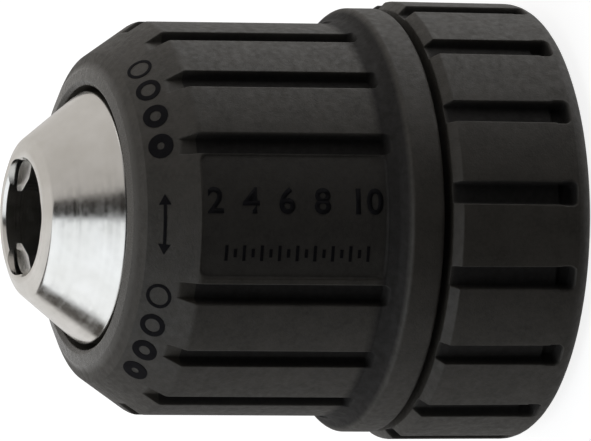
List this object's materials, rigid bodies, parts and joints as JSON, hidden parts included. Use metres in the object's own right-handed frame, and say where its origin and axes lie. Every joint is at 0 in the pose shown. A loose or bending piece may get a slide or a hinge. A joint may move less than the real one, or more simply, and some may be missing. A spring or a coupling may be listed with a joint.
{
  "type": "keyless drill chuck",
  "caption": "Keyless drill chuck with a turned steel nose, three sliding jaws, a split nut on a ball bearing and two ribbed plastic sleeves.",
  "frame": {"origin": "centre of the rear face, where the spindle's shoulder seats, which is also the bottom centre of the bounding box", "axes": "+Z along the chuck's axis from the rear face to the nose; -Y through jaw 1 and the smooth panel of the front sleeve"},
  "size_m": [0.0424, 0.0424, 0.0517],
  "materials": {
    "turned_steel": "bright turned steel",
    "jaw_steel": "ground hardened steel",
    "hardened_steel": "ground hardened steel",
    "ball_steel": "polished ball",
    "bush_steel": "turned, phosphated",
    "spring_steel": "blackened spring steel",
    "cage_brass": "pressed sheet",
    "sleeve_plastic": "moulded, fine matt texture"
  },
  "bodies": {
    "chuck": {"chuck_body": "turned_steel", "rear_sleeve": "sleeve_plastic", "rear_sleeve_bush": "bush_steel", "thrust_race_rear": "hardened_steel", "sleeve_retaining_ring": "spring_steel"},
    "sleeve": {"front_sleeve": "sleeve_plastic", "nut_half_1": "hardened_steel", "nut_half_2": "hardened_steel", "nut_band": "spring_steel", "thrust_race_front": "hardened_steel"},
    "cage": {"ball_cage": "cage_brass", "bearing_ball_1": "ball_steel", "bearing_ball_2": "ball_steel", "bearing_ball_3": "ball_steel", "bearing_ball_4": "ball_steel", "bearing_ball_5": "ball_steel", "bearing_ball_6": "ball_steel", "bearing_ball_7": "ball_steel", "bearing_ball_8": "ball_steel", "bearing_ball_9": "ball_steel", "bearing_ball_10": "ball_steel", "bearing_ball_11": "ball_steel", "bearing_ball_12": "ball_steel"},
    "jaw_1": {"jaw_1": "jaw_steel"},
    "jaw_2": {"jaw_2": "jaw_steel"},
    "jaw_3": {"jaw_3": "jaw_steel"}
  },
  "joints": [
    {"name": "front_sleeve_turn", "type": "hinge", "parent": "chuck", "child": "sleeve", "pos_m": [0, 0, 0], "axis": [0, 0, -1], "range_deg": [-1200, 2460]},
    {"name": "cage_turn", "type": "hinge", "parent": "chuck", "child": "cage", "pos_m": [0, 0, 0], "axis": [0, 0, -1], "range_deg": [-601, 1231]},
    {"name": "jaw_1_slide", "type": "slide", "parent": "chuck", "child": "jaw_1", "axis": [0, 0.2756, 0.9613], "range_m": [-0.00502, 0.01027]},
    {"name": "jaw_2_slide", "type": "slide", "parent": "chuck", "child": "jaw_2", "axis": [-0.2387, -0.1378, 0.9613], "range_m": [-0.00502, 0.01027]},
    {"name": "jaw_3_slide", "type": "slide", "parent": "chuck", "child": "jaw_3", "axis": [0.2387, -0.1378, 0.9613], "range_m": [-0.00502, 0.01027]}
  ],
  "couplings": [
    {"joint": "cage_turn", "follows": "front_sleeve_turn", "ratio": 0.5},
    {"joint": "jaw_1_slide", "follows": "front_sleeve_turn", "m_per_rad": 0.00023873},
    {"joint": "jaw_2_slide", "follows": "front_sleeve_turn", "m_per_rad": 0.00023873},
    {"joint": "jaw_3_slide", "follows": "front_sleeve_turn", "m_per_rad": 0.00023873}
  ]
}
